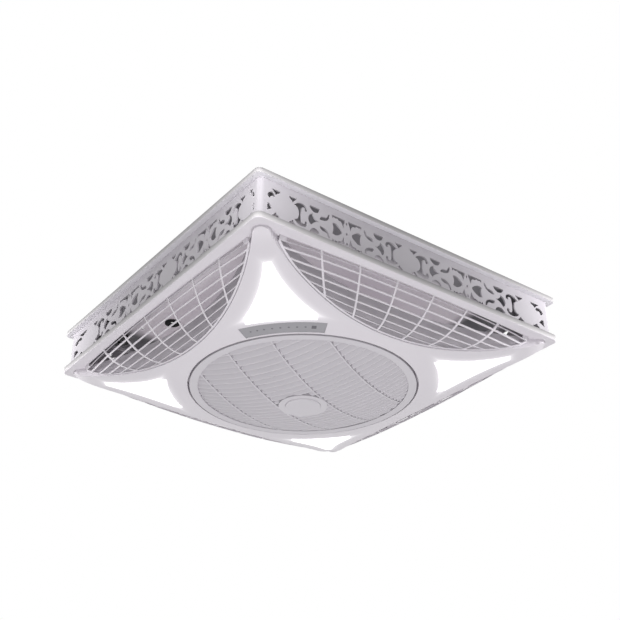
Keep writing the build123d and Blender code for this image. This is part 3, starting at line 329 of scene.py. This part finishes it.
def panelShell():
    # the panel's own satin ABS, with a painted glow round each lamp
    material = plastic("panelShell", plastics["satinAbs"])
    tree = material.node_tree
    shader = tree.nodes["Principled BSDF"]
    place = tree.nodes["Texture Coordinate"].outputs["Object"]
    paintWallShade(tree, shader, place, wallShade["panelTop"])
    # painted glow: the panel emits light near each lamp window
    tree.links.new(paintHaloRoundLamps(tree, place), shader.inputs["Emission Strength"])
    shader.inputs["Emission Color"].default_value = linear(opal["glow"])
    return material


# The plate's pocket: white as far out as lit, with painted shade by the skirt from dark on, and a painted
# glow in its middle
pocket = {
    "side": 284.4, "top": -2.4, "lit": 205.0, "dark": 232.0, "colour": "F3F1F5", "shaded": "8C8A8F",
    "glow": 0.24, "paintedGlow": "EBDDE9"}


def plateSkin():
    # polished ABS, with a painted glow in the pocket's middle to brighten the dim interior
    material = plastic("plateSkin", plastics["glossAbs"])
    tree = material.node_tree
    shader = tree.nodes["Principled BSDF"]
    place = tree.nodes["Texture Coordinate"].outputs["Object"]
    outward = fromMiddle(tree, place)
    height = addNode(tree, "ShaderNodeSeparateXYZ", {0: place}).outputs[2]
    within = addNode(tree, "ShaderNodeMath", {0: outward, 1: pocket["side"] * mm}, operation="LESS_THAN")
    under = addNode(tree, "ShaderNodeMath", {0: height, 1: pocket["top"] * mm}, operation="LESS_THAN")
    inside = addNode(tree, "ShaderNodeMath", {
        0: within.outputs[0], 1: under.outputs[0]}, operation="MULTIPLY").outputs[0]
    middle = addNode(tree, "ShaderNodeMapRange", {
        "Value": outward, "From Min": pocket["dark"] * mm, "From Max": pocket["lit"] * mm}).outputs[0]
    # painted shade towards the skirt
    pocketShade = addNode(tree, "ShaderNodeMix", {
        0: middle, 6: linear(pocket["shaded"]), 7: linear(pocket["colour"])}, data_type="RGBA")
    face = shader.inputs["Base Color"].links[0].from_socket
    tint = addNode(tree, "ShaderNodeMix", {0: inside, 6: face, 7: pocketShade.outputs[2]}, data_type="RGBA")
    tree.links.new(tint.outputs[2], shader.inputs["Base Color"])
    paintWallShade(tree, shader, place, wallShade["plateTop"])
    # painted glow: the pocket emits light though it holds no lamp
    paintedGlow = addNode(tree, "ShaderNodeMath", {0: middle, 1: pocket["glow"]}, operation="MULTIPLY")
    paintedGlowInside = addNode(tree, "ShaderNodeMath", {0: paintedGlow.outputs[0], 1: inside}, operation="MULTIPLY")
    tree.links.new(paintedGlowInside.outputs[0], shader.inputs["Emission Strength"])
    shader.inputs["Emission Color"].default_value = linear(pocket["paintedGlow"])
    return material


metals = {
    # zinc plated steel: bluish, cloudy, with a fine crystal haze
    "zincSteel": {
        "colour": "C9CDD2", "shade": "A9AEB6", "roughness": (0.24, 0.42), "grain": 1.2, "depth": 0.02,
        "stretch": (1, 1, 1)},
    # ground bar: bright, with fine rings round the axis
    "groundSteel": {
        "colour": "D4D5D8", "shade": "B5B7BB", "roughness": (0.14, 0.26), "grain": 0.7, "depth": 0.01,
        "stretch": (0.05, 0.05, 1)},
    # die-cast aluminium: pale grey, softly pebbled skin
    "castAluminium": {
        "colour": "C8CACD", "shade": "AEB1B5", "roughness": (0.38, 0.52), "grain": 1.8, "depth": 0.08,
        "stretch": (1, 1, 1)},
    # stacked electrical steel: a line for each 0.5 mm sheet, drawn 1 mm thick so that it shows
    "laminatedSteel": {
        "colour": "8E9298", "shade": "5F6369", "roughness": (0.35, 0.5), "grain": 1.0, "depth": 0.06,
        "stretch": (0.02, 0.02, 1)},
}
metalSkin = {"cloudGrains": 6, "cloudDetail": 4.0, "fineDetail": 2.0, "bump": 0.5}


def metal(name, look):
    material, tree, shader, place = startMaterial(name)
    spread = addNode(tree, "ShaderNodeMapping", {"Vector": place, "Scale": look["stretch"]}).outputs[0]
    cloudSize = metalSkin["cloudGrains"] * look["grain"] * mm
    cloud = addNode(tree, "ShaderNodeTexNoise", {
        "Vector": spread, "Scale": 1 / cloudSize, "Detail": metalSkin["cloudDetail"]})
    fine = addNode(tree, "ShaderNodeTexNoise", {
        "Vector": spread, "Scale": 1 / (look["grain"] * mm), "Detail": metalSkin["fineDetail"]}).outputs[0]
    tint = addNode(tree, "ShaderNodeMix", {
        0: cloud.outputs[0], 6: linear(look["shade"]), 7: linear(look["colour"])}, data_type="RGBA")
    keen, dull = look["roughness"]
    gloss = addNode(tree, "ShaderNodeMapRange", {"Value": fine, "To Min": keen, "To Max": dull})
    bump = addNode(tree, "ShaderNodeBump", {
        "Height": fine, "Strength": metalSkin["bump"], "Distance": look["depth"] * mm})
    tree.links.new(tint.outputs[2], shader.inputs["Base Color"])
    tree.links.new(gloss.outputs[0], shader.inputs["Roughness"])
    tree.links.new(bump.outputs[0], shader.inputs["Normal"])
    shader.inputs["Metallic"].default_value = 1.0
    return material


copper = {
    "colour": "B8643A", "shade": "7E3E22", "wire": 0.9, "wander": 1.2, "bump": 0.8, "depth": 0.2,
    "roughness": 0.28, "enamel": 0.5}


def copperWinding():
    # enamelled wire, wound in close turns: warm, glossy, ribbed
    material, tree, shader, place = startMaterial("copperWinding")
    turns = addNode(tree, "ShaderNodeTexWave", {
        "Vector": place, "Scale": 1 / (math.tau * copper["wire"] * mm), "Distortion": copper["wander"]},
        wave_type="BANDS", bands_direction="DIAGONAL").outputs[1]
    # the grooves between the turns are coloured darker, a painted shade
    tint = addNode(tree, "ShaderNodeMix", {
        0: turns, 6: linear(copper["shade"]), 7: linear(copper["colour"])}, data_type="RGBA")
    bump = addNode(tree, "ShaderNodeBump", {
        "Height": turns, "Strength": copper["bump"], "Distance": copper["depth"] * mm})
    tree.links.new(tint.outputs[2], shader.inputs["Base Color"])
    tree.links.new(bump.outputs[0], shader.inputs["Normal"])
    shader.inputs["Metallic"].default_value = 1.0
    shader.inputs["Roughness"].default_value = copper["roughness"]
    shader.inputs["Coat Weight"].default_value = copper["enamel"]
    return material


# Angles are from the near corner's direction, as on the display's own dots
smoked = {
    "colour": "A3A1A6", "shade": "98969C", "drift": 30.0, "driftDetail": 2.0, "roughness": 0.12,
    "ior": 1.49, "nearCorner": 225.0, "radius": 205.4,
    "dots": [-14.0, -11.0, -8.0, -4.5, -1.0, 2.5, 6.0, 9.5],
    "dotRadius": 1.7, "mark": "77757B", "receiver": 13.0, "receiverHalf": 3.6, "window": "6A686E"}


def alongStrip(angle):
    turn = math.radians(smoked["nearCorner"] + angle)
    return (smoked["radius"] * mm * math.cos(turn), smoked["radius"] * mm * math.sin(turn), 0.0)


def dotMarks(tree, flat):
    marks = 0.0
    for angle in smoked["dots"]:
        gap = addNode(tree, "ShaderNodeVectorMath", {0: flat, 1: alongStrip(angle)}, operation="DISTANCE")
        near = addNode(tree, "ShaderNodeMath", {
            0: gap.outputs["Value"], 1: smoked["dotRadius"] * mm}, operation="LESS_THAN")
        marks = addNode(tree, "ShaderNodeMath", {
            0: marks, 1: near.outputs[0]}, operation="MAXIMUM").outputs[0]
    return marks


def receiverWindow(tree, flat):
    # a little square, turned with the strip
    shifted = addNode(tree, "ShaderNodeVectorMath", {
        0: flat, 1: alongStrip(smoked["receiver"])}, operation="SUBTRACT")
    angle = math.radians(smoked["nearCorner"] + smoked["receiver"])
    turned = addNode(tree, "ShaderNodeVectorRotate", {
        "Vector": shifted.outputs[0], "Angle": -angle}, rotation_type="Z_AXIS")
    return addNode(tree, "ShaderNodeMath", {
        0: fromMiddle(tree, turned.outputs[0]), 1: smoked["receiverHalf"] * mm},
        operation="LESS_THAN").outputs[0]


def smokedAcrylic():
    # grey tinted acrylic strip, polished: the dots behind it show as dark marks
    material, tree, shader, place = startMaterial("smokedAcrylic")
    drift = addNode(tree, "ShaderNodeTexNoise", {
        "Vector": place, "Scale": 1 / (smoked["drift"] * mm), "Detail": smoked["driftDetail"]})
    tint = addNode(tree, "ShaderNodeMix", {
        0: drift.outputs[0], 6: linear(smoked["shade"]), 7: linear(smoked["colour"])}, data_type="RGBA")
    # the marks go straight down through the strip, so height is left out
    flat = addNode(tree, "ShaderNodeVectorMath", {0: place, 1: (1, 1, 0)}, operation="MULTIPLY").outputs[0]
    dotted = addNode(tree, "ShaderNodeMix", {
        0: dotMarks(tree, flat), 6: tint.outputs[2], 7: linear(smoked["mark"])}, data_type="RGBA")
    windowed = addNode(tree, "ShaderNodeMix", {
        0: receiverWindow(tree, flat), 6: dotted.outputs[2], 7: linear(smoked["window"])}, data_type="RGBA")
    tree.links.new(windowed.outputs[2], shader.inputs["Base Color"])
    shader.inputs["Roughness"].default_value = smoked["roughness"]
    shader.inputs["IOR"].default_value = smoked["ior"]
    return material


board = {
    "colour": "E9ECE6", "track": "C9D0C4", "trackPitch": 6.0, "trackEdge": (0.45, 0.5), "bump": 0.4,
    "copper": 0.04, "roughness": 0.35}


def whiteBoard():
    # white solder mask over copper tracks, which lift it by a hair
    material, tree, shader, place = startMaterial("whiteBoard")
    cells = addNode(tree, "ShaderNodeTexVoronoi", {
        "Vector": place, "Scale": 1 / (board["trackPitch"] * mm)},
        distance="MANHATTAN", feature="F1")
    start, end = board["trackEdge"]
    track = addNode(tree, "ShaderNodeMapRange", {
        "Value": cells.outputs[0], "From Min": start, "From Max": end}).outputs[0]
    tint = addNode(tree, "ShaderNodeMix", {
        0: track, 6: linear(board["colour"]), 7: linear(board["track"])}, data_type="RGBA")
    bump = addNode(tree, "ShaderNodeBump", {
        "Height": track, "Strength": board["bump"], "Distance": board["copper"] * mm})
    tree.links.new(tint.outputs[2], shader.inputs["Base Color"])
    tree.links.new(bump.outputs[0], shader.inputs["Normal"])
    shader.inputs["Roughness"].default_value = board["roughness"]
    return material


phosphor = {
    "colour": "F2D873", "shade": "E0BE55", "grain": 0.6, "grainDetail": 2.0, "roughness": 0.3, "ior": 1.41}


def chipPhosphor():
    # silicone with phosphor over each light chip: yellow, glossy, faintly grained
    material, tree, shader, place = startMaterial("chipPhosphor")
    grain = addNode(tree, "ShaderNodeTexNoise", {
        "Vector": place, "Scale": 1 / (phosphor["grain"] * mm), "Detail": phosphor["grainDetail"]})
    tint = addNode(tree, "ShaderNodeMix", {
        0: grain.outputs[0], 6: linear(phosphor["shade"]), 7: linear(phosphor["colour"])}, data_type="RGBA")
    tree.links.new(tint.outputs[2], shader.inputs["Base Color"])
    shader.inputs["Roughness"].default_value = phosphor["roughness"]
    shader.inputs["IOR"].default_value = phosphor["ior"]
    return material


finishes = {name: plastic(name, look) for name, look in plastics.items()}
finishes.update({name: metal(name, look) for name, look in metals.items()})
for made in (
        panelShell(), plateSkin(), opalAcrylic(), copperWinding(), smokedAcrylic(), whiteBoard(),
        chipPhosphor()):
    finishes[made.name] = made
print("finishes made:", len(finishes))

slotFinish = {
    "panel_white": "satinAbs",
    "skirt_white": "skirtAbsPaintedShade",
    "inner_white": "waxyPolypropylene",
    "lamp_opal": "opalAcrylic",
    "display_grey": "smokedAcrylic",
    "circuit_board": "whiteBoard",
    "lamp_chip": "chipPhosphor",
    "display_dot": "blackNylon",
    "black_plastic": "blackNylon",
    "box_grey": "greyAbs",
    "rubber": "softRubber",
    "zinc_steel": "zincSteel",
    "ground_steel": "groundSteel",
    "motor_aluminium": "castAluminium",
    "core_steel": "laminatedSteel",
    "copper": "copperWinding",
}
# Pieces whose finish differs from that of their slot
ownFinish = {
    "front_panel": "panelShell",
    "ceiling_plate": "plateSkin",
    "rotary_louvre": "louvreAbs",
    "hub_cap": "louvreAbs",
}

for node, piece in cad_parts.items():
    finish = ownFinish.get(node, slotFinish[piece.material_slots[0].material.name])
    for slot in piece.material_slots:
        slot.material = finishes[finish]
print("finishes on", len(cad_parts), "carried pieces")
